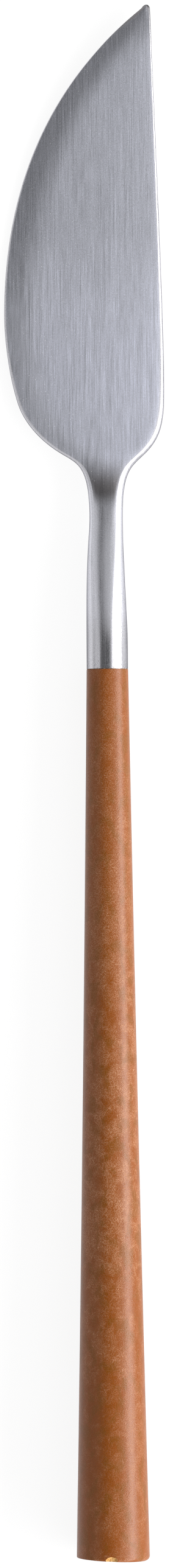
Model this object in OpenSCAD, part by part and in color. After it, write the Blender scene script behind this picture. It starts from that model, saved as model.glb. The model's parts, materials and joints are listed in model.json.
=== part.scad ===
// Fish knife: a forged steel blade whose round tang is bonded into a tapered handle.
// It is drawn with the handle's axis along Y, the joint at Y = 0 and the point towards +Y,
// then laid on the table the way it comes to rest: on the handle and on the curved edge.

/* [Blade outline] */
// Length of the blade and neck, from the handle joint to the point
blade_len = 89.6; // [86:0.1:95]
// Offset of the point from the handle's axis, towards the back
point_x = 5.9; // [5:0.1:6.5]
// Reach of the curved edge from the handle's axis
belly_x = 13.7; // [12:0.1:15]
// Station where the curved edge is widest
belly_y = 47.5; // [45:0.5:50]
// Reach of the straight back from the handle's axis
back_x = 7.95; // [7:0.05:9]
// Station where the two shoulders turn in to the neck
shoulder_y = 28.6; // [27:0.1:30]
// Width of the neck at its waist
waist_w = 4.5; // [4:0.1:5.2]
// Station of the waist
waist_y = 20.5; // [18:0.5:22]
// Offset of the waist from the handle's axis, towards the curved edge
waist_x = 0.03; // [0:0.01:0.15]
// Length of the plain round collar next to the handle
collar_len = 4; // [2:0.5:6]

/* [Blade thickness] */
// Thickness of the blade near the point
point_t = 0.7; // [0.5:0.05:0.9]
// Thickness of the blade at the belly
belly_t = 1.2; // [1:0.05:1.6]
// Thickness of the blade at the shoulders
shoulder_t = 2.2; // [1.8:0.1:2.6]
// Thickness of the neck at its waist
waist_t = 2.7; // [2.4:0.1:3]
// Thickness of the curved edge near the point
edge_t = 0.3; // [0.2:0.05:0.4]
// Thickness of the curved edge at the belly
belly_edge_t = 0.9; // [0.7:0.05:1]
// Thickness of the curved edge at the shoulder
shoulder_edge_t = 2; // [1.6:0.1:2.2]
// Thickness of the back near the point
back_t = 0.5; // [0.3:0.05:0.6]
// Thickness of the back at the belly
belly_back_t = 1; // [0.8:0.05:1.2]
// Thickness of the back at the shoulder
shoulder_back_t = 2.1; // [1.7:0.1:2.2]
// Width of the bevel along the curved edge
edge_bevel = 4; // [3:0.25:5]
// Width of the eased strip along the back
back_bevel = 1.5; // [1:0.1:2]

/* [Handle] */
// Length of the handle along its axis
handle_len = 119.7; // [110:0.1:130]
// Diameter of the handle and of the collar at the joint
joint_d = 5.6; // [5.4:0.1:6.2]
// Diameter of the handle at the butt
butt_d = 9.8; // [9:0.1:11]
// How far the side is drawn in from a straight taper, at half length
side_sag = 0.12; // [0:0.02:0.3]
// Radius of the butt's turned edge
butt_round = 0.65; // [0.4:0.05:1]
// Angle by which the butt is cut out of square
butt_slant = 2.75; // [1:0.25:4]

/* [Tang and bond] */
// Diameter of the tang
tang_d = 3.2; // [2.8:0.1:3.4]
// Length of the tang inside the handle
tang_len = 45; // [40:1:50]
// Room left in the bore beyond the end of the tang
bore_room = 1.5; // [1:0.25:3]
// Slope of the bore's drill point, from square to the axis
drill_slope = 31; // [25:1:35]
// Gap between tang and bore, filled by the bond
bond_gap = 0.15; // [0.1:0.05:0.25]
// Thickness of the bond line between collar and handle
bond_line = 0.1; // [0.05:0.05:0.2]
// Number of keying grooves round the tang
groove_count = 4; // [2:1:5]
// Width of a keying groove
groove_w = 2; // [1.5:0.25:2.5]
// Depth of a keying groove
groove_depth = 0.3; // [0.2:0.05:0.4]

/* [Hidden] */
$fn = 96;

STEEL = [0.70, 0.71, 0.73];
RESIN = [0.63, 0.36, 0.20];
BOND = [0.26, 0.17, 0.11];

joint_r = joint_d / 2;
butt_r = butt_d / 2;
tang_r = tang_d / 2;
waist_left = waist_w / 2 + waist_x;
waist_right = waist_w / 2 - waist_x;
waist_side_t = waist_t - 0.4;
bore_r = tang_r + bond_gap;

// The tang starts this far inside the collar
tang_root = 2;

// The bond stays a hair inside the joint's outline, and the butt is turned a hair longer than it is cut
hair = 0.05;

// A rail is a chain of cubic curves in [value, station], running from the point to the collar
curved_edge = [
    [-point_x, blade_len],
    [-point_x + 0.3, blade_len],
    [-point_x + 0.5, blade_len - 0.2],
    [-point_x + 0.7, blade_len - 0.5],
    [belly_x - 9.3, blade_len - 8],
    [belly_x, belly_y + 21.5],
    [belly_x, belly_y],
    [belly_x, belly_y - 1.5],
    [belly_x - 0.35, shoulder_y + 11.5],
    [belly_x - 1.9, shoulder_y + 7],
    [belly_x - 2.2, shoulder_y + 6.1],
    [belly_x - 3.7, shoulder_y + 2.6],
    [waist_left + 2.95, shoulder_y],
    [waist_left + 1.35, shoulder_y - 0.9],
    [waist_left, shoulder_y - 1.9],
    [waist_left, waist_y],
    [waist_left, waist_y - 3],
    [joint_r, waist_y - 3],
    [joint_r, collar_len],
];
straight_back = [
    [point_x, blade_len],
    [point_x + 0.25, blade_len],
    [point_x + 0.45, blade_len - 0.2],
    [point_x + 0.5, blade_len - 0.8],
    [point_x + 0.7, blade_len - 9.7],
    [back_x, belly_y + 2.5],
    [back_x, shoulder_y + 9],
    [back_x, shoulder_y + 4.2],
    [back_x - 0.55, shoulder_y + 2.2],
    [waist_right + 2.7, shoulder_y],
    [waist_right + 1.1, shoulder_y - 1.4],
    [waist_right, shoulder_y - 2.2],
    [waist_right, waist_y],
    [waist_right, waist_y - 5],
    [joint_r, collar_len + 2.2],
    [joint_r, collar_len],
];

// Half the thickness along the blade: nearly even above the belly, then rising to the shoulders,
// the later the more of the rise is left to its end, and swelling from the waist to the round collar
swell_y = shoulder_y + 1.5;
function thickness_rail(at_point, at_belly, at_shoulder, at_waist, late) =
    let (rise = (at_shoulder - at_belly) / 2, early = rise * (1 - late) / 4)
    [
        [at_point / 2, blade_len],
        [at_point / 2, blade_len - 14],
        [at_belly / 2 - early, belly_y + 6],
        [at_belly / 2, belly_y],
        [at_belly / 2 + early, belly_y - 6],
        [at_shoulder / 2 - rise * late, swell_y + 4.5],
        [at_shoulder / 2, swell_y],
        [at_shoulder / 2 + rise * late / 2, swell_y - 2.25],
        [at_waist / 2 - 0.16, waist_y + 4],
        [at_waist / 2, waist_y],
        [at_waist / 2 + 0.2, waist_y - 5],
        [joint_r - 0.15, collar_len + 5],
        [joint_r, collar_len],
    ];
crown_rail = thickness_rail(point_t, belly_t, shoulder_t, waist_t, 0.5);
edge_rail = thickness_rail(edge_t, belly_edge_t, shoulder_edge_t, waist_side_t, 0.45);
back_rail = thickness_rail(back_t, belly_back_t, shoulder_back_t, waist_side_t, 0.8);

// Stations of the loft, as [from, to, steps]: close together at the point and the shoulders
loft_zones = [
    [blade_len - 0.02, blade_len - 0.5, 7],
    [blade_len - 0.5, blade_len - 5, 7],
    [blade_len - 5, belly_y, 18],
    [belly_y, shoulder_y + 8, 8],
    [shoulder_y + 8, shoulder_y - 5, 24],
    [shoulder_y - 5, collar_len, 14],
    [collar_len, 0, 3],
];
stations = [
    for (zone = loft_zones)
        for (k = [0 : zone[2] - 1])
            zone[0] + (zone[1] - zone[0]) * k / zone[2],
    0,
];

// A section has two rounded edges, each turning through twice this angle, and two faces
edge_turn = 70;
edge_steps = 10;
face_steps = 14;

// A bevel keeps this share of its fall at its inner border, is at least this many half thicknesses
// wide, and takes at most this share of the half width
fall_left = 0.05;
least_bevel = 1.2;
most_bevel = 0.78;

// Pose at rest: the handle lies on its lowest line, then rolls until the curved edge meets the table
rest_pitch = atan((butt_r - joint_r) / (handle_len - butt_round + collar_len));
axis_height = joint_r * cos(rest_pitch) + collar_len * sin(rest_pitch);
rest_roll = min([
    for (y = stations)
        for (p = section(y))
            if (p[0] < -belly_x / 2 && p[1] < 0)
                touch_roll(p[0], y, p[1])
]);
rest_x = (belly_x - back_x) / 2;
rest_y = (handle_len - blade_len) / 2;

function mix(a, b, t) = a + (b - a) * t;

// Point on one cubic curve
function bezier(p, t) =
    p[0] * (1 - t) ^ 3 + p[1] * 3 * t * (1 - t) ^ 2 + p[2] * 3 * t ^ 2 * (1 - t) + p[3] * t ^ 3;

// First control point of the curve in a rail that holds station y
function curve_start(rail, y, i = 0) =
    i + 6 >= len(rail) || y >= rail[i + 3][1] ? i : curve_start(rail, y, i + 3);

// Value of a curve at station y, by halving its parameter range
function curve_at(p, y, low = 0, high = 1, halvings = 24) =
    let (middle = (low + high) / 2, found = bezier(p, middle))
    halvings == 0 ? found[0]
        : found[1] > y ? curve_at(p, y, middle, high, halvings - 1)
        : curve_at(p, y, low, middle, halvings - 1);

function rail_at(rail, y) =
    let (i = curve_start(rail, y))
    curve_at([for (k = [0 : 3]) rail[i + k]], y);

// Exponent that lets a face fall off over the width of a bevel, and round a narrow section
function bevel_power(bevel, half_w, half_t) =
    ln(fall_left) / ln(1 - min(max(bevel, least_bevel * half_t) / half_w, most_bevel));

// Half thickness at the fraction s of a face, counted from the curved edge to the back
function face_z(s, edge_z, back_z, crown, edge_power, back_power) =
    let (base = mix(edge_z, back_z, s))
    base + (crown - base) * (1 - abs(2 * s - 1) ^ (s < 0.5 ? edge_power : back_power));

// Closed outline of the blade across its length at station y, as [x, z]
function section(y) =
    let (
        left = -rail_at(curved_edge, y),
        right = rail_at(straight_back, y),
        half_w = (right - left) / 2,
        crown = min(rail_at(crown_rail, y), half_w),
        edge_r = min(rail_at(edge_rail, y), half_w),
        back_r = min(rail_at(back_rail, y), half_w),
        edge_power = bevel_power(edge_bevel, half_w, crown),
        back_power = bevel_power(back_bevel, half_w, crown),
        start_x = left + edge_r * (1 - cos(edge_turn)),
        end_x = right - back_r * (1 - cos(edge_turn)),
        face = [
            for (k = [1 : face_steps - 1])
                let (s = (1 - cos(180 * k / face_steps)) / 2)
                [
                    mix(start_x, end_x, s),
                    face_z(s, edge_r * sin(edge_turn), back_r * sin(edge_turn), crown, edge_power, back_power),
                ]
        ],
        turns = [for (k = [0 : edge_steps]) edge_turn * (2 * k / edge_steps - 1)]
    )
    [
        for (turn = turns) [left + edge_r * (1 - cos(turn)), edge_r * sin(turn)],
        for (p = face) p,
        for (turn = turns) [right - back_r * (1 - cos(turn)), -back_r * sin(turn)],
        for (k = [1 : len(face)]) [face[len(face) - k][0], -face[len(face) - k][1]],
    ];

// Roll at which a point of the blade meets the table
function touch_roll(x, y, z) =
    let (drop = axis_height / cos(rest_pitch) - y * tan(rest_pitch))
    asin(drop / norm([x, z])) - atan2(-z, -x);

// Radius of the handle at the fraction t of its length
function handle_r(t) = mix(joint_r, butt_r, t) - 4 * side_sag * t * (1 - t);

// Outline of the tang from its free end up to the collar, as [radius, station]
function tang_outline() = [
    [0, -tang_len],
    [tang_r - groove_depth, -tang_len],
    [tang_r, -tang_len + groove_depth],
    for (k = [groove_count : -1 : 1])
        let (middle = -tang_len * k / (groove_count + 1))
        each [
            [tang_r, middle - groove_w / 2],
            [tang_r - groove_depth, middle - groove_w / 2 + groove_depth],
            [tang_r - groove_depth, middle + groove_w / 2 - groove_depth],
            [tang_r, middle + groove_w / 2],
        ],
    [tang_r, 0],
];

// Outline of the blind bore from the bond line down to its drill point, as [radius, station]
function bore_outline() =
    let (bottom = -tang_len - bore_room)
    [
        [bore_r, -bond_line],
        [bore_r, bottom],
        [0, bottom - bore_r * tan(drill_slope)],
    ];

// Loft through the sections, closed at both ends
module blade_loft() {
    sections = [for (y = stations) section(y)];
    count = len(sections[0]);
    last = len(stations) - 1;
    points = [for (i = [0 : last]) for (p = sections[i]) [p[0], stations[i], p[1]]];
    sides = [
        for (i = [0 : last - 1])
            for (k = [0 : count - 1])
                let (
                    a = i * count + k,
                    b = i * count + (k + 1) % count,
                    c = b + count,
                    d = a + count
                )
                each [[a, b, c], [a, c, d]]
    ];
    ends = [
        for (k = [1 : count - 2])
            each [[0, k + 1, k], [last * count, last * count + k, last * count + k + 1]]
    ];
    polyhedron(points = points, faces = concat(sides, ends));
}

// Turn an outline of [radius, station] round the handle's axis
module turned(outline) {
    rotate([-90, 0, 0])
        rotate_extrude()
            polygon(outline);
}

// Lay the knife on the table, with the origin under the middle of its box
module at_rest() {
    translate([rest_x, rest_y, axis_height])
        rotate([-rest_pitch, 0, 0])
            rotate([0, -rest_roll, 0])
                children();
}

module blade() {
    root = [[tang_r, tang_root], [0, tang_root]];
    color(STEEL)
        at_rest()
            union() {
                blade_loft();
                turned(concat(tang_outline(), root));
            }
}

module handle() {
    side_steps = 20;
    butt_end = -handle_len - (butt_r - butt_round) * tan(butt_slant) - hair;
    side = [
        for (k = [0 : side_steps])
            let (t = k / side_steps)
            [handle_r(t), mix(-bond_line, butt_end + butt_round, t)]
    ];
    turned_edge = [
        for (a = [15 : 15 : 90])
            [butt_r - butt_round * (1 - cos(a)), butt_end + butt_round * (1 - sin(a))]
    ];
    bore_top = [[0, 1], [bore_r, 1]];
    color(RESIN)
        at_rest()
            difference() {
                turned(concat([[0, -bond_line]], side, turned_edge, [[0, butt_end]]));
                turned(concat(bore_top, bore_outline()));
                translate([0, -handle_len, 0])
                    rotate([0, 0, -butt_slant])
                        translate([-butt_d, -butt_d, -butt_d])
                            cube([2 * butt_d, butt_d, 2 * butt_d]);
            }
}

module tang_adhesive() {
    lip = [[joint_r - hair, 0], [joint_r - hair, -bond_line]];
    color(BOND)
        at_rest()
            turned(concat(tang_outline(), lip, bore_outline()));
}

blade();
handle();
tang_adhesive();
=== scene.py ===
"""Fish knife: a brushed steel blade bonded into a tapered handle of fibre-filled resin.

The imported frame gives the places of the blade, the handle and the bond. Lengths are in metres, and
the patterns of the finishes are in millimetres on the object's own coordinates.
"""
import json
import logging
import math
from dataclasses import dataclass
from enum import Enum
from typing import Any, Mapping, Optional, Sequence, Union

import bpy
import numpy as np
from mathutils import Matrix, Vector


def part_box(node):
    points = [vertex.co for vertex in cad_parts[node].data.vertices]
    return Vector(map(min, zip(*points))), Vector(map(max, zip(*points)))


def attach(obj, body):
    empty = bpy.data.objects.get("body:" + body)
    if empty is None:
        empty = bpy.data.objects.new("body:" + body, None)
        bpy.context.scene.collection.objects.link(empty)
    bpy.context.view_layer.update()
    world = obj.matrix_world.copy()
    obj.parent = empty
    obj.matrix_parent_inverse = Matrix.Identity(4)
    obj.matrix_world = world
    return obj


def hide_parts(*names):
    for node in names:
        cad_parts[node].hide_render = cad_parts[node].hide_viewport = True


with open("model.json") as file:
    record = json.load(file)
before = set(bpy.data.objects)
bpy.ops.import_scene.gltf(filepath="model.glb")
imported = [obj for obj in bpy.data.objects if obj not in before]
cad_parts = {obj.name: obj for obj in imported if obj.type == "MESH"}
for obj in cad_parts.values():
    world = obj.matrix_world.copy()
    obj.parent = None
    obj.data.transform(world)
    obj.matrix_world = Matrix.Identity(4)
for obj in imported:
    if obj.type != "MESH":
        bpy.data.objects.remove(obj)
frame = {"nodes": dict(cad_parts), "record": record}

LOG = logging.getLogger("fish_knife")
MM = 0.001
PER_MM = 1000.0
MIDDLE = 0.5
WHITE = (1.0, 1.0, 1.0, 1.0)

Colour = tuple[float, float, float, float]
Cell = tuple[float, float, float]
Span = tuple[float, float]
Input = Union["Socket", float, Sequence[float]]


class Slot(Enum):
    """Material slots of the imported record."""

    STEEL = "steel"
    RESIN = "resin"


class Node(Enum):
    """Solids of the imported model."""

    BLADE = "blade"
    HANDLE = "handle"
    BOND = "tang_adhesive"


class Border(Enum):
    """Borders of the blade whose distance its mesh holds, in millimetres."""

    EDGE = "from_edge"
    BACK = "from_back"


def paint(red: float, green: float, blue: float) -> Colour:
    """Turn a colour as it shows on a screen into the linear one that a shader takes.

    Args:
        red: Red from 0 to 255.
        green: Green from 0 to 255.
        blue: Blue from 0 to 255.

    Returns:
        The linear colour, with full alpha.
    """
    shown = [part / 255 for part in (red, green, blue)]
    linear = [part / 12.92 if part <= 0.04045 else ((part + 0.055) / 1.055) ** 2.4 for part in shown]
    return (linear[0], linear[1], linear[2], 1.0)


def turns(low: float, high: float) -> Span:
    """Two angles in degrees, as radians."""
    return (math.radians(low), math.radians(high))


@dataclass(frozen=True)
class Noise:
    """Soft noise: its size in millimetres, its finer octaves, and how far it is drawn out of shape."""

    cell: Cell
    detail: float
    warp: float = 0.0


@dataclass(frozen=True)
class Spots:
    """Scattered spots, drawn out to dashes where the cell is longer one way.

    A cell, in millimetres, may hold one spot. The reach is the radius of a spot as a share of the
    cell, and the share is that of the cells that hold one.
    """

    cell: Cell
    reach: float
    share: float
    core: float = 0.4
    faint: float = 0.6


@dataclass(frozen=True)
class Strands:
    """Short fibres, one to a cell: the cell in millimetres, and a fibre's size as shares of it."""

    cell: float
    length: float
    width: float
    blunt: float = 0.35
    thin: float = 0.25
    weakest: float = 0.3


class Socket:
    """An output of a node, used in expressions like a number."""

    def __init__(self, graph: "Graph", output: Optional[bpy.types.NodeSocket]) -> None:
        """Hold the output and the graph that takes the nodes of an expression."""
        self.graph = graph
        self.output = output

    def pick(self, name: str) -> "Socket":
        """Another output of the same node."""
        return Socket(self.graph, self.output.node.outputs[name])

    def __add__(self, other: Input) -> "Socket":
        """Sum with a value on the right."""
        return self.graph.maths("ADD", self, other)

    def __radd__(self, other: Input) -> "Socket":
        """Sum with a value on the left."""
        return self.graph.maths("ADD", other, self)

    def __sub__(self, other: Input) -> "Socket":
        """Difference with a value on the right."""
        return self.graph.maths("SUBTRACT", self, other)

    def __rsub__(self, other: Input) -> "Socket":
        """Difference with a value on the left."""
        return self.graph.maths("SUBTRACT", other, self)

    def __mul__(self, other: Input) -> "Socket":
        """Product with a value on the right."""
        return self.graph.maths("MULTIPLY", self, other)

    def __rmul__(self, other: Input) -> "Socket":
        """Product with a value on the left."""
        return self.graph.maths("MULTIPLY", other, self)

    def __truediv__(self, other: Input) -> "Socket":
        """Quotient with a value on the right."""
        return self.graph.maths("DIVIDE", self, other)

    def __abs__(self) -> "Socket":
        """Size of this value without its sign."""
        return self.graph.maths("ABSOLUTE", self, 0.0)


class Graph:
    """Adds the nodes of one material or world and links them."""

    def __init__(self, tree: bpy.types.NodeTree) -> None:
        """Empty the tree, so that only the nodes added here are in it."""
        self.tree = tree
        tree.nodes.clear()

    def node(
        self,
        kind: str,
        settings: Optional[Mapping[str, Any]] = None,
        inputs: Optional[Mapping[Union[int, str], Input]] = None,
        output: Union[int, str] = 0,
    ) -> Socket:
        """Add a node.

        Args:
            kind: Type name of the node.
            settings: Properties of the node, set before its sockets are.
            inputs: Values or links of its sockets, by name or place.
            output: The output to return.

        Returns:
            That output, or an empty socket if the node has none.
        """
        new = self.tree.nodes.new(kind)
        for name, value in (settings or {}).items():
            setattr(new, name, value)
        for key, value in (inputs or {}).items():
            if isinstance(value, Socket):
                self.tree.links.new(value.output, new.inputs[key])
            else:
                new.inputs[key].default_value = value
        return Socket(self, new.outputs[output] if len(new.outputs) else None)

    def maths(self, operation: str, first: Input, second: Input) -> Socket:
        """Add a Math node for one step of an expression."""
        return self.node("ShaderNodeMath", {"operation": operation}, {0: first, 1: second})

    def vector(self, operation: str, first: Input, second: Input = (0.0, 0.0, 0.0)) -> Socket:
        """Add a Vector Math node that gives a vector."""
        return self.node("ShaderNodeVectorMath", {"operation": operation}, {0: first, 1: second})

    def dot(self, first: Input, second: Input) -> Socket:
        """Dot product of two vectors."""
        settings = {"operation": "DOT_PRODUCT"}
        return self.node("ShaderNodeVectorMath", settings, {0: first, 1: second}, "Value")

    def scale(self, vector: Input, factor: Input) -> Socket:
        """Colour or vector times a value."""
        settings = {"operation": "SCALE"}
        return self.node("ShaderNodeVectorMath", settings, {0: vector, "Scale": factor})

    def mix(self, factor: Input, start: Input, end: Input) -> Socket:
        """Blend two colours."""
        settings = {"data_type": "RGBA", "clamp_factor": True}
        return self.node("ShaderNodeMix", settings, {0: factor, 6: start, 7: end}, 2)

    def blend(self, factor: Input, start: Input, end: Input) -> Socket:
        """Blend two values."""
        settings = {"data_type": "FLOAT", "clamp_factor": True}
        return self.node("ShaderNodeMix", settings, {0: factor, 2: start, 3: end}, 0)

    def step(self, value: Input, low: float, high: float) -> Socket:
        """Rise smoothly from 0 at low to 1 at high.

        Args:
            value: The value that rises.
            low: Where the step starts.
            high: Where it ends.

        Returns:
            The step, from 0 to 1.
        """
        settings = {"interpolation_type": "SMOOTHSTEP", "clamp": True}
        inputs = {"Value": value, "From Min": low, "From Max": high}
        return self.node("ShaderNodeMapRange", settings, inputs)

    def point(self) -> Socket:
        """Place on the object, in millimetres."""
        place = self.node("ShaderNodeTexCoord", output="Object")
        return self.vector("MULTIPLY", place, (PER_MM, PER_MM, PER_MM))

    def attribute(self, name: Border) -> Socket:
        """Value that the mesh holds at each point."""
        return self.node("ShaderNodeAttribute", {"attribute_name": name.value}, output="Fac")

    def normal(self) -> Socket:
        """Direction in which the surface faces."""
        return self.node("ShaderNodeNewGeometry", output="Normal")

    def noise(self, place: Input, noise: Noise) -> Socket:
        """Soft noise from 0 to 1.

        Args:
            place: Place in millimetres.
            noise: Size and kind of the noise.

        Returns:
            The noise value.
        """
        inputs = {"Vector": self.vector("DIVIDE", place, noise.cell), "Scale": 1.0}
        inputs.update({"Detail": noise.detail, "Distortion": noise.warp})
        return self.node("ShaderNodeTexNoise", inputs=inputs)

    def cells(self, place: Input, output: str) -> Socket:
        """Cells of one unit, scattered about the surface."""
        inputs = {"Vector": place, "Scale": 1.0}
        return self.node("ShaderNodeTexVoronoi", inputs=inputs, output=output)

    def dashes(self, place: Input, spots: Spots) -> Socket:
        """Scattered spots.

        Args:
            place: Place in millimetres.
            spots: Size and share of the spots.

        Returns:
            A mask that is 1 in the spots.
        """
        near = self.cells(self.vector("DIVIDE", place, spots.cell), "Distance")
        chance = self.node("ShaderNodeSeparateColor", inputs={0: near.pick("Color")})
        held = self.step(chance, 1 - spots.share, 1 - spots.faint * spots.share)
        return (1 - self.step(near, spots.core * spots.reach, spots.reach)) * held

    def bump(self, height: Input, depth: float) -> Socket:
        """Normal of a relief that is this deep, in metres."""
        return self.node("ShaderNodeBump", inputs={"Height": height, "Distance": depth})

    def surface(self, shader: Socket) -> None:
        """Send a shader to the material's output."""
        self.node("ShaderNodeOutputMaterial", inputs={"Surface": shader})

    def principled(self, inputs: Mapping[Union[int, str], Input]) -> None:
        """Send a Principled shader with these inputs to the material's output."""
        self.surface(self.node("ShaderNodeBsdfPrincipled", inputs=inputs))


def new_material(name: str) -> tuple[bpy.types.Material, Graph]:
    """Make an empty node material.

    Args:
        name: Name of the material.

    Returns:
        The material and its graph.
    """
    material = bpy.data.materials.new(name)
    material.use_nodes = True
    return material, Graph(material.node_tree)


@dataclass(frozen=True)
class BrushedSteel:
    """Stainless steel, belt-brushed on its flats and polished on its round parts.

    Fields that end in mm are stations ahead of the handle joint, or distances from the curved edge.
    Roughness and tones that come in pairs run from the rear of the blade to its front.
    """

    # Besides its real marks, the colour holds painted light and shade: the neck band, the point, the
    # bevel, the lighter neck, rear and back.
    joint_mm: float
    facing: tuple[float, float, float]
    brushed_tint: Colour = (0.578, 0.588, 0.650, 1.0)
    polished_tint: Colour = (0.582, 0.578, 0.614, 1.0)
    # Painted light: a lighter, cooler tint on the neck that stands in for brighter reflections there.
    neck_painted_light_tint: Colour = (0.690, 0.692, 0.748, 1.0)
    # Dark colour for the real dirt by the joint, also used to paint shade on the neck band and at the
    # point.
    dirt_and_painted_shade: Colour = (0.17, 0.16, 0.162, 1.0)
    speck: Colour = (0.95, 0.95, 0.95, 1.0)
    rim_tint: Colour = (0.28, 0.28, 0.29, 1.0)
    brushed: Span = (0.77, 0.61)
    bevelled: float = 0.40
    collar: float = 0.20
    neck: float = 0.31
    satin_mm: Span = (1.5, 7.5)
    # Stations where the neck's painted light begins.
    neck_painted_light_mm: Span = (4.0, 9.0)
    belly_mm: Span = (41.0, 62.0)
    flat_cosine: Span = (0.940, 0.985)
    bevel_band_mm: Span = (1.4, 5.4)
    bevel_fade_mm: Span = (36.0, 68.0)
    bevel_strength: Span = (0.52, 1.0)
    brush_end_mm: Span = (21.5, 27.0)
    # Painted shade: a dark band across the neck where the brushed flat ends.
    painted_band_mm: Span = (21.6, 24.0)
    painted_band_fade_mm: Span = (24.4, 28.9)
    tip_mm: Span = (81.0, 89.0)
    tip_ground: float = 0.8
    lean: float = math.radians(0.3)
    fine: Noise = Noise((0.06, 2.6, 1.0), 0.0)
    fine_share: float = 0.42
    long: Noise = Noise((0.10, 12.0, 1.0), 1.0)
    long_share: float = 0.48
    broad: Noise = Noise((1.2, 40.0, 1.2), 1.0)
    broad_share: float = 0.10
    cloud: Noise = Noise((2.5, 5.0, 2.5), 3.0)
    grain: Noise = Noise((0.08, 0.16, 0.08), 1.0)
    scratches: Spots = Spots((0.30, 9.0, 1.0), 0.16, 0.30)
    specks: Spots = Spots((0.42, 0.42, 0.42), 0.17, 0.60)
    speck_most: float = 0.75
    speck_fall: float = 0.55
    dirt: Spots = Spots((0.16, 0.42, 0.16), 0.42, 0.50)
    dirt_mm: Span = (0.4, 1.7)
    belt_rough: float = 0.25
    satin_rough: float = 0.22
    grain_rough: float = 0.12
    band_painted_shade_share: float = 0.9
    dirt_stain: float = 0.6
    # Painted shade at the point: clouded on the flats and even on the round edges.
    tip_painted_shade_share: float = 0.28
    tip_rim_painted_shade_share: float = 0.6
    streak_tone: Span = (1.2, 0.82)
    grain_tone: Span = (0.42, 0.64)
    scratch_tone: float = 0.22
    # Painted light and shade: lighter towards the back and at the rear of the blade, darker on the
    # bevel.
    sweep_painted_light: float = 0.2
    rear_painted_light: float = 0.06
    bevel_painted_shade: float = -0.12
    rubbed_streak: float = 0.5
    rubbed_grain: float = 0.6
    relief: Span = (0.15, 1.0)
    relief_depth: float = 0.006 * MM

    def _flat(self, graph: Graph) -> Socket:
        """Mask of the two flats, without the round edges."""
        squareness = abs(graph.dot(graph.normal(), self.facing))
        return graph.step(squareness, *self.flat_cosine)

    def _bevel(self, graph: Graph, along: Socket) -> Socket:
        """Mask of the finer ground bevel along the curved edge, strongest towards the point."""
        band = 1 - graph.step(graph.attribute(Border.EDGE), *self.bevel_band_mm)
        return band * graph.blend(graph.step(along, *self.bevel_fade_mm), *self.bevel_strength)

    def _streak(self, graph: Graph, place: Socket) -> Socket:
        """Brushing along the blade.

        Args:
            graph: Graph that takes the nodes.
            place: Place in millimetres, turned so that Y runs along the brushing.

        Returns:
            The brushing, from 0 to 1.
        """
        brushing = self.fine_share * graph.noise(place, self.fine)
        brushing = brushing + self.long_share * graph.noise(place, self.long)
        return brushing + self.broad_share * graph.noise(place, self.broad)

    def _painted_shade_band(self, graph: Graph, along: Socket) -> Socket:
        """Mask of a band of painted shade across the neck, where the brushed flat ends."""
        return graph.step(along, *self.painted_band_mm) * (1 - graph.step(along, *self.painted_band_fade_mm))

    def _sweep(self, graph: Graph) -> Socket:
        """Share of the way across the blade, from its curved edge to its back."""
        edge = graph.attribute(Border.EDGE)
        return edge / (edge + graph.attribute(Border.BACK))

    def material(self) -> bpy.types.Material:
        """Build the material.

        Returns:
            The steel material.
        """
        material, graph = new_material("brushed_steel")
        turn = {"Vector": graph.point(), "Rotation": (0.0, 0.0, self.lean)}
        place = graph.node("ShaderNodeMapping", inputs=turn)
        along = graph.node("ShaderNodeSeparateXYZ", inputs={0: place}, output="Y") - self.joint_mm
        level = self._flat(graph)
        ahead_of_neck = graph.step(along, *self.brush_end_mm)
        flat = level * ahead_of_neck
        forward = graph.step(along, *self.belly_mm)
        tip = graph.step(along, *self.tip_mm)
        bevel = self._bevel(graph, along)
        # Painted shade band across the neck, darkened in the base colour.
        band_painted_shade = self._painted_shade_band(graph, along) * level
        sweep = self._sweep(graph)
        streak = self._streak(graph, place)
        streaked = streak - MIDDLE
        grained = graph.noise(place, self.grain) - MIDDLE
        cloud = graph.noise(place, self.cloud)
        scratch = graph.dashes(place, self.scratches)
        speck = graph.dashes(place, self.specks) * flat
        speck = speck * (self.speck_most - self.speck_fall * sweep)
        dirt = graph.dashes(place, self.dirt) * (1 - graph.step(along, *self.dirt_mm))

        ground = graph.maths("MAXIMUM", bevel, self.tip_ground * tip)
        belt = graph.blend(ground, graph.blend(forward, *self.brushed), self.bevelled)
        belt = belt + self.belt_rough * streaked
        satin = graph.blend(graph.step(along, *self.satin_mm), self.collar, self.neck)
        satin = satin + self.satin_rough * streaked + self.grain_rough * grained

        # Painted light: the neck ahead of the collar is tinted lighter, as if it reflected more light.
        neck_painted_light = graph.step(along, *self.neck_painted_light_mm) * (1 - ahead_of_neck)
        tint_with_painted_light = graph.mix(neck_painted_light, self.polished_tint, self.neck_painted_light_tint)
        tint_with_painted_light = graph.mix(flat, tint_with_painted_light, self.brushed_tint)
        # Painted shade: the point is darkened, in clouds on the flats and along its round edges.
        tip_painted_shade = self.tip_painted_shade_share * tip * cloud + self.tip_rim_painted_shade_share * tip * (1 - level)
        # Real dirt by the joint, plus the painted shade of the neck band and the point.
        dirt_and_painted_shade_amount = self.band_painted_shade_share * band_painted_shade + tip_painted_shade + self.dirt_stain * dirt
        stained_with_painted_shade = graph.mix(dirt_and_painted_shade_amount, tint_with_painted_light, self.dirt_and_painted_shade)
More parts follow.
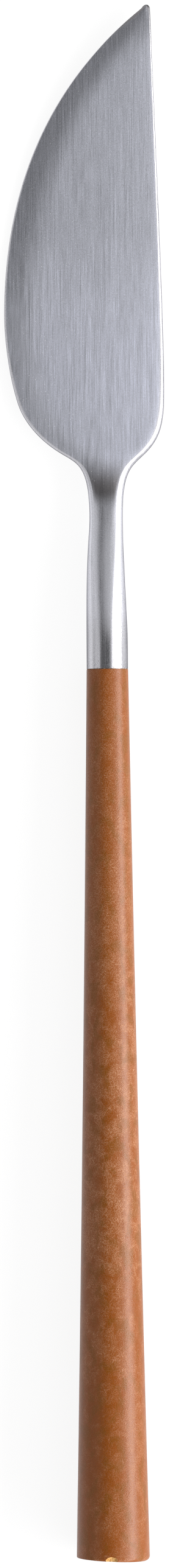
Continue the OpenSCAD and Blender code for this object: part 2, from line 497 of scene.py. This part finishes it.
        # Streaks, grain and scratches are the steel's own; the sweep, rear and bevel terms are painted
        # light and shade.
        lines_and_painted_light = graph.blend(forward, *self.streak_tone) * streaked
        lines_and_painted_light = lines_and_painted_light + graph.blend(forward, *self.grain_tone) * grained
        lines_and_painted_light = lines_and_painted_light + self.scratch_tone * scratch + self.sweep_painted_light * (sweep - MIDDLE)
        lines_and_painted_light = lines_and_painted_light + self.rear_painted_light * (1 - forward) + self.bevel_painted_shade * bevel
        rubbed = self.rubbed_streak * streaked + self.rubbed_grain * grained
        worn_and_painted_light = graph.scale(stained_with_painted_shade, 1 + graph.blend(flat, rubbed, lines_and_painted_light))
        graph.principled(
            {
                "Base Color": graph.mix(speck, worn_and_painted_light, self.speck),
                "Metallic": 1.0,
                "Roughness": graph.blend(flat, satin, belt),
                "Specular Tint": self.rim_tint,
                "Normal": graph.bump(streak * graph.blend(flat, *self.relief), self.relief_depth),
            }
        )
        return material


@dataclass(frozen=True)
class FibreResin:
    """Amber resin under a tangle of fine pale fibres, rubbed to a satin.

    Near the joint the fibres lie evenly, and towards the butt they gather in loose tufts. The shares
    of dust and of long fibres run from the one to the other.
    """

    joint_mm: float
    amber: Colour = paint(125, 68, 0)
    russet: Colour = paint(132, 67, 3)
    fibre: Colour = paint(211, 163, 128)
    satin: float = 0.33
    gloss: float = 0.35
    even_mm: Span = (-30.0, -50.0)
    veil_start_mm: Span = (2.0, 16.0)
    veil_end_mm: Span = (80.0, 100.0)
    veil_ends: float = 0.6
    veil_rise: float = 0.4
    drift: Noise = Noise((7.0, 16.0, 7.0), 2.0, 0.4)
    cloud: Noise = Noise((1.3, 1.7, 1.3), 3.0, 0.6)
    cloud_share: float = 0.65
    pool: Noise = Noise((1.5, 2.4, 1.5), 2.0, 0.4)
    pool_edge: Span = (0.50, 0.66)
    pool_clear: float = 0.72
    dense_edge: Span = (0.39, 0.63)
    even_least: float = 0.16
    even_rise: float = 0.56
    dust: Noise = Noise((0.15, 0.17, 0.15), 1.0)
    dust_edge: Span = (0.42, 0.70)
    dust_share: Span = (0.55, 0.35)
    short_share: float = 0.45
    long_share: Span = (0.165, 0.55)
    short: Strands = Strands(0.24, 1.2, 0.42)
    long: Strands = Strands(0.46, 1.2, 0.20)
    curl_scale: float = 1.6
    curl_mm: Cell = (0.6, 0.6, 0.6)
    veil_share: Span = (0.11, 0.52)
    haze: float = 0.06
    cloud_rough: float = 0.14
    fibre_rough: float = 0.10
    cloud_relief: float = 0.9
    fibre_relief: float = 0.5
    relief_depth: float = 0.02 * MM

    @staticmethod
    def _fibres(graph: Graph, place: Socket, strands: Strands) -> Socket:
        """Short fibres that lie in the surface, each its own way.

        Args:
            graph: Graph that takes the nodes.
            place: Place in millimetres, already drawn out of true so that fibres curl.
            strands: Size of the fibres and their cells.

        Returns:
            A mask that is brightest along the fibres.
        """
        scaled = graph.vector("DIVIDE", place, (strands.cell, strands.cell, strands.cell))
        site = graph.cells(scaled, "Position")
        throw = graph.vector("SUBTRACT", site.pick("Color"), (MIDDLE, MIDDLE, MIDDLE))
        facing = graph.normal()
        run = graph.vector("NORMALIZE", graph.vector("CROSS_PRODUCT", facing, throw))
        side = graph.vector("CROSS_PRODUCT", facing, run)
        offset = graph.vector("SUBTRACT", scaled, site)
        width = (strands.thin * strands.width, strands.width / 2)
        length = (strands.blunt * strands.length, strands.length / 2)
        across = 1 - graph.step(abs(graph.dot(offset, side)), *width)
        along = 1 - graph.step(abs(graph.dot(offset, run)), *length)
        chance = graph.node("ShaderNodeSeparateColor", inputs={0: site.pick("Color")})
        return across * along * graph.blend(chance, strands.weakest, 1.0)

    def _tangle(self, graph: Graph, place: Socket, loose: Socket) -> Socket:
        """All fibres together, with the dust of broken ones.

        Args:
            graph: Graph that takes the nodes.
            place: Place in millimetres.
            loose: Mask that is 0 where the fibres lie evenly and 1 where they are in tufts.

        Returns:
            A mask that is brightest along the fibres.
        """
        wave = {"Vector": place, "Scale": self.curl_scale, "Detail": 1.0}
        curl = graph.node("ShaderNodeTexNoise", inputs=wave, output="Color")
        bent = graph.vector("ADD", place, graph.vector("MULTIPLY", curl, self.curl_mm))
        dust = graph.step(graph.noise(place, self.dust), *self.dust_edge)
        short = self._fibres(graph, bent, self.short)
        long = self._fibres(graph, bent, self.long)
        powder = graph.blend(loose, *self.dust_share) * dust
        tufts = graph.blend(loose, *self.long_share) * long
        return powder + self.short_share * short + tufts

    def material(self) -> bpy.types.Material:
        """Build the material.

        Returns:
            The resin material.
        """
        material, graph = new_material("fibre_resin")
        place = graph.point()
        along = graph.node("ShaderNodeSeparateXYZ", inputs={0: place}, output="Y") - self.joint_mm
        loose = graph.step(along, *self.even_mm)
        behind = -1 * along
        amount = self.veil_ends + self.veil_rise * graph.step(behind, *self.veil_start_mm)
        amount = amount - self.veil_rise * graph.step(behind, *self.veil_end_mm)

        drift = graph.noise(place, self.drift)
        cloud = graph.noise(place, self.cloud)
        pool = graph.step(graph.noise(place, self.pool), *self.pool_edge)
        gathered = (1 - self.cloud_share) * drift + self.cloud_share * cloud
        dense = graph.step(gathered, *self.dense_edge) * (1 - self.pool_clear * pool)
        dense = graph.blend(loose, self.even_least + self.even_rise * dense, dense)
        tangle = self._tangle(graph, place, loose)
        veil = (tangle * graph.blend(dense, *self.veil_share) + self.haze * dense) * amount
        clear = graph.mix(pool, self.russet, self.amber)
        rough = self.satin + self.cloud_rough * (cloud - MIDDLE) + self.fibre_rough * tangle
        relief = self.cloud_relief * cloud + self.fibre_relief * tangle
        graph.principled(
            {
                "Base Color": graph.mix(veil, clear, self.fibre),
                "Roughness": rough,
                "Specular IOR Level": self.gloss,
                "Normal": graph.bump(relief, self.relief_depth),
            }
        )
        return material


@dataclass(frozen=True)
class RawFibre:
    """Pale broken fibres that show where the resin is chipped."""

    pale: Colour = paint(222, 178, 112)
    gold: Colour = paint(176, 118, 52)
    strand: Noise = Noise((0.09, 0.3, 0.3), 3.0, 0.8)
    strand_edge: Span = (0.35, 0.6)
    rough: float = 0.8
    relief_depth: float = 0.08 * MM

    def material(self) -> bpy.types.Material:
        """Build the material.

        Returns:
            The raw fibre material.
        """
        material, graph = new_material("raw_fibre")
        strand = graph.noise(graph.point(), self.strand)
        graph.principled(
            {
                "Base Color": graph.mix(graph.step(strand, *self.strand_edge), self.gold, self.pale),
                "Roughness": self.rough,
                "Normal": graph.bump(strand, self.relief_depth),
            }
        )
        return material


@dataclass(frozen=True)
class BondLine:
    """Dark cured adhesive with a little dust in it."""

    dark: Colour = paint(96, 66, 48)
    dusty: Colour = paint(178, 138, 108)
    dust: Noise = Noise((0.3, 0.3, 0.3), 3.0)
    dust_edge: Span = (0.4, 0.7)
    rough: float = 0.55
    dust_rough: float = 0.2
    relief_depth: float = 0.01 * MM

    def material(self) -> bpy.types.Material:
        """Build the material.

        Returns:
            The adhesive material.
        """
        material, graph = new_material("cured_bond")
        dust = graph.noise(graph.point(), self.dust)
        graph.principled(
            {
                "Base Color": graph.mix(graph.step(dust, *self.dust_edge), self.dark, self.dusty),
                "Roughness": self.rough + self.dust_rough * dust,
                "Normal": graph.bump(dust, self.relief_depth),
            }
        )
        return material


@dataclass(frozen=True)
class PaleFloor:
    """Pale studio floor that shows white to the camera and keeps a faint shadow."""

    tone: Colour = (0.38, 0.38, 0.38, 1.0)
    shaded: Colour = (0.14, 0.14, 0.14, 1.0)
    lift: float = 0.888

    def material(self) -> bpy.types.Material:
        """Build the material.

        Returns:
            The floor material.
        """
        material, graph = new_material("pale_floor")
        path = graph.node("ShaderNodeLightPath", output="Is Camera Ray")
        seen = graph.maths("MAXIMUM", path, path.pick("Is Glossy Ray"))
        seen = graph.maths("MAXIMUM", seen, path.pick("Is Transmission Ray"))
        plain = graph.node("ShaderNodeBsdfDiffuse", inputs={"Color": self.tone})
        quiet = graph.node("ShaderNodeBsdfDiffuse", inputs={"Color": self.shaded})
        glow = graph.node("ShaderNodeEmission", inputs={"Strength": self.lift})
        lifted = graph.node("ShaderNodeAddShader", inputs={0: quiet, 1: glow})
        graph.surface(graph.node("ShaderNodeMixShader", inputs={0: seen, 1: plain, 2: lifted}))
        return material


class Bench:
    """Steps at the workbench that the pieces share."""

    JOIN_GAP = 0.0005 * MM

    @staticmethod
    def clear() -> None:
        """Leave edit mode and deselect everything."""
        if bpy.context.object and bpy.context.object.mode != "OBJECT":
            bpy.ops.object.mode_set(mode="OBJECT")
        bpy.ops.object.select_all(action="DESELECT")

    @staticmethod
    def take(piece: bpy.types.Object) -> None:
        """Make one object the only selected and the active one.

        Args:
            piece: The object to take.
        """
        Bench.clear()
        piece.select_set(True)
        bpy.context.view_layer.objects.active = piece

    @staticmethod
    def place(piece: bpy.types.Object) -> None:
        """Apply a piece's place, turn and size to its mesh."""
        Bench.take(piece)
        bpy.ops.object.transform_apply(location=True, rotation=True, scale=True)

    @staticmethod
    def copy_node(node: Node, name: str) -> bpy.types.Object:
        """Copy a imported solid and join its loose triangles.

        Args:
            node: The solid to copy.
            name: Name of the new piece.

        Returns:
            The copy, with its own mesh and no material.
        """
        Bench.take(frame["nodes"][node.value])
        bpy.ops.object.duplicate()
        piece = bpy.context.object
        piece.name = name
        piece.data.name = name
        piece.parent = None
        for key in list(piece.keys()):
            del piece[key]
        piece.data.materials.clear()
        bpy.ops.mesh.customdata_custom_splitnormals_clear()
        bpy.ops.object.mode_set(mode="EDIT")
        bpy.ops.mesh.select_all(action="SELECT")
        bpy.ops.mesh.remove_doubles(threshold=Bench.JOIN_GAP)
        bpy.ops.object.mode_set(mode="OBJECT")
        return piece

    @staticmethod
    def settle(piece: bpy.types.Object, angle: float) -> None:
        """Apply a piece's place to its mesh and shade it smooth up to an angle."""
        Bench.place(piece)
        bpy.ops.object.shade_smooth_by_angle(angle=angle, keep_sharp_edges=True)

    @staticmethod
    def mount(piece: bpy.types.Object, node: Node, slot: Slot) -> None:
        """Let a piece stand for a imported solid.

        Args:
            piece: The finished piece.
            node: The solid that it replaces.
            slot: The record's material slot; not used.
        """
        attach(piece, "root")
        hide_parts(node.value)


@dataclass
class Blade:
    """The forged blade with its neck and tang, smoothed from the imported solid."""

    node: Node = Node.BLADE
    fold_angle: float = math.radians(50)
    quad_angle: float = math.radians(120)
    grid_sense: float = 2.0
    sharp_angle: float = math.radians(40)
    smooth_angle: float = math.radians(35)
    smooth_levels: int = 2
    rim_cosine: float = 0.12
    up_cosine: float = 0.97

    def build(self) -> bpy.types.Object:
        """Model the blade.

        Returns:
            The blade piece.
        """
        piece = Bench.copy_node(self.node, "blade_forging")
        bpy.ops.object.mode_set(mode="EDIT")
        bpy.ops.mesh.select_mode(type="EDGE")
        bpy.ops.mesh.select_all(action="SELECT")
        bpy.ops.mesh.tris_convert_to_quads(
            face_threshold=self.fold_angle,
            shape_threshold=self.quad_angle,
            topology_influence=self.grid_sense,
        )
        bpy.ops.mesh.select_all(action="DESELECT")
        bpy.ops.mesh.edges_select_sharp(sharpness=self.sharp_angle)
        bpy.ops.transform.edge_crease(value=1.0)
        bpy.ops.mesh.mark_sharp()
        Bench.take(piece)
        smooth = piece.modifiers.new("smooth", "SUBSURF")
        smooth.levels = self.smooth_levels
        smooth.render_levels = self.smooth_levels
        bpy.ops.object.modifier_apply(modifier=smooth.name)
        Bench.settle(piece, self.smooth_angle)
        self._mark_borders(piece)
        return piece

    def _mark_borders(self, piece: bpy.types.Object) -> None:
        """Store at each point how far it lies from the curved edge and from the back.

        Args:
            piece: The blade piece.
        """
        mesh = piece.data
        place = np.empty(len(mesh.vertices) * 3)
        mesh.vertices.foreach_get("co", place)
        place = place.reshape(-1, 3)
        normal = np.empty(len(mesh.vertices) * 3)
        mesh.vertex_normals.foreach_get("vector", normal)
        normal = normal.reshape(-1, 3)
        rim = np.abs(normal @ np.array(self.facing(piece))) < self.rim_cosine
        for border, side in ((Border.EDGE, -1.0), (Border.BACK, 1.0)):
            line = place[rim & (side * normal[:, 0] > self.rim_cosine)]
            line = line[np.argsort(line[:, 1])]
            reach = np.interp(place[:, 1], line[:, 1], line[:, 0])
            gap = side * (reach - place[:, 0]) * PER_MM
            mesh.attributes.new(border.value, "FLOAT", "POINT").data.foreach_set("value", gap)

    def facing(self, piece: bpy.types.Object) -> tuple[float, float, float]:
        """Direction in which the upper flat faces.

        Args:
            piece: The blade piece.

        Returns:
            The mean normal of the faces that look up.
        """
        total = Vector((0.0, 0.0, 0.0))
        for face in piece.data.polygons:
            if face.normal.z > self.up_cosine:
                total += face.normal * face.area
        total.normalize()
        return (total.x, total.y, total.z)

    def dress(self, piece: bpy.types.Object, joint: float) -> None:
        """Give the blade its steel.

        Args:
            piece: The blade piece.
            joint: Station of the handle joint along Y.
        """
        steel = BrushedSteel(joint * PER_MM, self.facing(piece))
        piece.data.materials.append(steel.material())
        Bench.mount(piece, self.node, Slot.STEEL)


@dataclass
class Handle:
    """The tapered handle with its blind bore and a chip on the rim of its butt."""

    node: Node = Node.HANDLE
    joint_d: float = 5.6 * MM
    butt_d: float = 9.8 * MM
    length: float = 119.7 * MM
    side_sag: float = 0.12 * MM
    butt_round: float = 0.65 * MM
    butt_slant: float = math.radians(2.75)
    collar_len: float = 4.0 * MM
    bond_line: float = 0.1 * MM
    bore_d: float = 3.5 * MM
    bore_depth: float = 46.5 * MM
    drill_slope: float = math.radians(31)
    spare: float = 0.05 * MM
    cut_slack: float = 0.0002 * MM
    facets: int = 128
    side_steps: int = 24
    round_steps: int = 8
    smooth_angle: float = math.radians(40)
    chip_size: tuple[float, float, float] = (0.86 * MM, 0.62 * MM, 0.42 * MM)
    chip_offset: tuple[float, float, float] = (-0.24 * MM, 0.10 * MM, 0.02 * MM)
    chip_rough: float = 0.10 * MM
    chip_finer: int = 4
    chip_ease: float = 0.5
    chip_seed: int = 11

    @property
    def pitch(self) -> float:
        """Angle by which the handle's axis falls towards the point as it lies on its lowest line."""
        fall = (self.butt_d - self.joint_d) / 2
        return math.atan(fall / (self.length - self.butt_round + self.collar_len))

    @property
    def axis(self) -> Vector:
        """Place of the joint on the handle's axis.

        Returns:
            The middle of the joint.
        """
        low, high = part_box(self.node.value)
        fall, run = math.sin(self.pitch), math.cos(self.pitch)
        rise = self.joint_d / 2 * run + self.collar_len * fall
        reach = self.bond_line * run - self.joint_d / 2 * fall
        return Vector(((low.x + high.x) / 2, high.y + reach, rise))

    @property
    def butt_face(self) -> Mapping[str, Any]:
        """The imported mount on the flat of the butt."""
        return next(mount for mount in frame["record"]["mounts"] if mount["name"] == "butt_face")

    def radius(self, share: float) -> float:
        """Radius at a share of the length, with the sides drawn in from a straight taper."""
        taper = self.joint_d / 2 + (self.butt_d - self.joint_d) / 2 * share
        return taper - 4 * self.side_sag * share * (1 - share)

    def _profile(self) -> list[Span]:
        """Rings from the bore's end, round the joint, to the turned butt.

        Returns:
            The rings as radius and station along the axis.
        """
        flat = self.butt_d / 2 - self.butt_round
        end = -self.length - flat * math.tan(self.butt_slant) - self.spare
        bore = self.bore_d / 2
        top = -self.bond_line
        inner = [(bore, -self.bore_depth), (bore, top)]
        shares = [step / self.side_steps for step in range(self.side_steps + 1)]
        side = [(self.radius(share), top + (end + self.butt_round - top) * share) for share in shares]
        edge = []
        for step in range(1, self.round_steps + 1):
            turn = math.pi / 2 * step / self.round_steps
            radius = self.butt_d / 2 - self.butt_round * (1 - math.cos(turn))
            edge.append((radius, end + self.butt_round * (1 - math.sin(turn))))
        return inner + side + edge

    def _turn(self) -> bpy.types.Object:
        """Draw rings out along the axis, one from the next, and close both ends.

        Returns:
            The turned handle, lying along Y with its joint at the origin.
        """
        rings = self._profile()
        Bench.clear()
        radius, station = rings[0]
        bpy.ops.mesh.primitive_circle_add(
            vertices=self.facets,
            radius=radius,
            fill_type="NOTHING",
            location=(0.0, station, 0.0),
            rotation=(math.pi / 2, 0.0, 0.0),
            enter_editmode=True,
        )
        piece = bpy.context.object
        piece.name = "handle_taper"
        piece.data.name = "handle_taper"
        bpy.ops.mesh.select_all(action="SELECT")
        for next_radius, next_station in rings[1:]:
            move = {"value": (0.0, next_station - station, 0.0)}
            bpy.ops.mesh.extrude_region_move(TRANSFORM_OT_translate=move)
            grow = next_radius / radius
            middle = (0.0, next_station, 0.0)
            bpy.ops.transform.resize(value=(grow, 1.0, grow), center_override=middle)
            radius, station = next_radius, next_station
        bpy.ops.mesh.edge_face_add()
        self._close_bore()
        bpy.ops.mesh.select_all(action="SELECT")
        bpy.ops.mesh.normals_make_consistent(inside=False)
        Bench.place(piece)
        return piece

    def _close_bore(self) -> None:
        """Draw the bore's open end to its drill point, in edit mode."""
        bpy.ops.mesh.select_all(action="DESELECT")
        bpy.ops.mesh.select_non_manifold()
        drop = self.bore_d / 2 * math.tan(self.drill_slope)
        bpy.ops.mesh.extrude_region_move(TRANSFORM_OT_translate={"value": (0.0, -drop, 0.0)})
        bpy.ops.mesh.merge(type="CENTER")

    def _cut_butt(self, piece: bpy.types.Object) -> None:
        """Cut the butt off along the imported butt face.

        Args:
            piece: The turned handle, in its place.
        """
        Bench.take(piece)
        bpy.ops.object.mode_set(mode="EDIT")
        bpy.ops.mesh.select_all(action="SELECT")
        bpy.ops.mesh.bisect(
            plane_co=self.butt_face["pos_m"],
            plane_no=self.butt_face["axis"],
            use_fill=True,
            clear_outer=True,
            threshold=self.cut_slack,
        )
        bpy.ops.object.mode_set(mode="OBJECT")

    def _cutter(self) -> bpy.types.Object:
        """Model the rough lump that breaks the chip out of the butt's upper rim.

        Returns:
            The lump, in its place.
        """
        rim = Vector(self.butt_face["pos_m"]) + Vector((0.0, 0.0, self.butt_d / 2))
        Bench.clear()
        bpy.ops.mesh.primitive_ico_sphere_add(
            subdivisions=self.chip_finer,
            radius=1.0,
            location=rim + Vector(self.chip_offset),
            scale=self.chip_size,
            enter_editmode=True,
        )
        bpy.ops.mesh.select_all(action="SELECT")
        bpy.ops.transform.vertex_random(
            offset=self.chip_rough, uniform=0.0, normal=0.0, seed=self.chip_seed
        )
        bpy.ops.mesh.vertices_smooth(factor=self.chip_ease, repeat=1)
        cutter = bpy.context.object
        cutter.data.materials.append(RawFibre().material())
        Bench.place(cutter)
        return cutter

    def _chip(self, piece: bpy.types.Object) -> None:
        """Break a small chip out of the butt's upper rim.

        Args:
            piece: The handle, cut at its butt.
        """
        cutter = self._cutter()
        Bench.take(piece)
        cut = piece.modifiers.new("chip", "BOOLEAN")
        cut.operation = "DIFFERENCE"
        cut.solver = "EXACT"
        cut.material_mode = "TRANSFER"
        cut.object = cutter
        bpy.ops.object.modifier_apply(modifier=cut.name)
        Bench.take(cutter)
        bpy.ops.object.delete()

    def build(self) -> bpy.types.Object:
        """Model the handle and give it its resin, so that the chip can bring its own finish.

        Returns:
            The handle piece.
        """
        piece = self._turn()
        piece.location = self.axis
        piece.rotation_euler = (-self.pitch, 0.0, 0.0)
        Bench.place(piece)
        self._cut_butt(piece)
        resin = FibreResin(self.axis.y * PER_MM)
        piece.data.materials.append(resin.material())
        self._chip(piece)
        Bench.settle(piece, self.smooth_angle)
        return piece

    def dress(self, piece: bpy.types.Object) -> None:
        """Let the finished handle stand for its solid."""
        Bench.mount(piece, self.node, Slot.RESIN)


@dataclass
class Bond:
    """The cured adhesive round the tang, which shows as the line at the joint."""

    node: Node = Node.BOND

    def dress(self) -> bpy.types.Object:
        """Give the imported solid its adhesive.

        Returns:
            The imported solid.
        """
        piece = frame["nodes"][self.node.value]
        piece.data.materials.clear()
        piece.data.materials.append(BondLine().material())
        return piece


@dataclass
class Studio:
    """Floor, light and camera of the photograph.

    The room's parts are bounded by angles from straight up: across, to the right, and ahead, to the
    point. Their strengths are those of white light.
    """

    image_px: tuple[int, int] = (277, 2576)
    knife_px: float = 2559.0
    knife_len: float = 210.0 * MM
    target: tuple[float, float, float] = (-0.30 * MM, -0.44 * MM, 2.6 * MM)
    distance: float = 0.95
    turn: float = math.radians(-0.379)
    sensor_mm: float = 36.0
    floor_half: float = 15.0
    floor_drop: float = 0.02 * MM
    ceiling: float = 0.132
    ceiling_left: Span = turns(-43, -36)
    ceiling_right: Span = turns(6, 45)
    ceiling_front: Span = turns(-32, -14)
    left_wall: Span = (0.576, 0.76)
    left_fall: Span = turns(-92, -66)
    right_glow: float = 1.76
    front_card: float = 0.76
    back_wall: float = 0.224
    back_reach: Span = turns(8, 35)
    back_card: float = 0.8
    card_near: Span = turns(7, 14)
    card_far: Span = turns(18, 28)
    card_left: Span = turns(-26, -6)
    surround: float = 1.0
    surround_height: Span = (-0.02, 0.0)
    key_radiance: float = 8.8
    key_distance: float = 0.80
    key_angle: float = math.radians(65.8)
    key_size: Span = (0.37, 1.25)
    key_shift: float = -0.42

    def floor(self) -> None:
        """Lay the floor under the knife."""
        Bench.clear()
        place = (0.0, 0.0, -self.floor_drop)
        bpy.ops.mesh.primitive_plane_add(size=2 * self.floor_half, location=place)
        floor = bpy.context.object
        floor.name = "floor"
        floor.data.materials.append(PaleFloor().material())

    def world(self) -> None:
        """Light the room.

        A dim ceiling lies between a lit wall on the left and the softbox's glow on the right, with
        cards in front and behind. Below the horizon, past the floor's end, all is white.
        """
        world = bpy.data.worlds.new("studio")
        world.use_nodes = True
        bpy.context.scene.world = world
        graph = Graph(world.node_tree)
        way = graph.node("ShaderNodeTexCoord", output="Generated")
        right = graph.node("ShaderNodeSeparateXYZ", inputs={0: way}, output="X")
        up = right.pick("Z")
        across = graph.maths("ARCTAN2", right, up)
        ahead = graph.maths("ARCTAN2", right.pick("Y"), up)
        behind = graph.step(ahead, *self.back_reach)
        card = graph.step(ahead, *self.card_near) * (1 - graph.step(ahead, *self.card_far))
        card = card * graph.step(across, *self.card_left)
        front = 1 - graph.step(ahead, *self.ceiling_front)
        lit_right = graph.step(across, *self.ceiling_right) * (1 - behind)
        lit_left = 1 - graph.step(across, *self.ceiling_left)
        wall = graph.blend(graph.step(across, *self.left_fall), *self.left_wall)
        room = graph.blend(behind, self.ceiling, self.back_wall)
        room = graph.blend(card, room, self.back_card)
        room = graph.blend(front, room, self.front_card)
        room = graph.blend(lit_right, room, self.right_glow)
        room = graph.blend(lit_left, room, wall)
        room = graph.blend(graph.step(up, *self.surround_height), self.surround, room)
        light = graph.node("ShaderNodeBackground", inputs={"Color": WHITE, "Strength": room})
        graph.node("ShaderNodeOutputWorld", inputs={"Surface": light})

    def key(self) -> None:
        """Hang the large softbox on the right."""
        Bench.clear()
        aim = Vector((math.sin(self.key_angle), 0.0, math.cos(self.key_angle)))
        place = aim * self.key_distance
        place.y = self.key_shift
        bpy.ops.object.light_add(type="AREA", location=place, rotation=(0.0, self.key_angle, 0.0))
        lamp = bpy.context.object
        lamp.name = "softbox"
        lamp.data.shape = "RECTANGLE"
        lamp.data.size, lamp.data.size_y = self.key_size
        lamp.data.energy = self.key_radiance * math.pi * self.key_size[0] * self.key_size[1]
        lamp.visible_camera = False

    def camera(self) -> None:
        """Set the camera straight above the knife, as in the photograph."""
        Bench.clear()
        place = Vector(self.target) + Vector((0.0, 0.0, self.distance))
        bpy.ops.object.camera_add(location=place, rotation=(0.0, 0.0, self.turn))
        camera = bpy.context.object
        view_height = self.image_px[1] * self.knife_len / self.knife_px
        camera.data.sensor_width = self.sensor_mm
        camera.data.lens = self.sensor_mm * self.distance / view_height
        bpy.context.scene.camera = camera
        bpy.context.scene.view_settings.view_transform = "Standard"

    def build(self) -> None:
        """Set up the whole studio."""
        self.camera()
        self.floor()
        self.world()
        self.key()


def main() -> None:
    """Build the knife and its studio."""
    logging.basicConfig(level=logging.INFO, format="%(message)s")
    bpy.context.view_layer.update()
    Studio().build()
    handle = Handle()
    handle_piece = handle.build()
    handle.dress(handle_piece)
    LOG.info("handle: %d faces", len(handle_piece.data.polygons))
    blade = Blade()
    blade_piece = blade.build()
    blade.dress(blade_piece, handle.axis.y)
    LOG.info("blade: %d faces", len(blade_piece.data.polygons))
    bond_piece = Bond().dress()
    LOG.info("bond: %d faces", len(bond_piece.data.polygons))


if __name__ == "__main__":
    main()
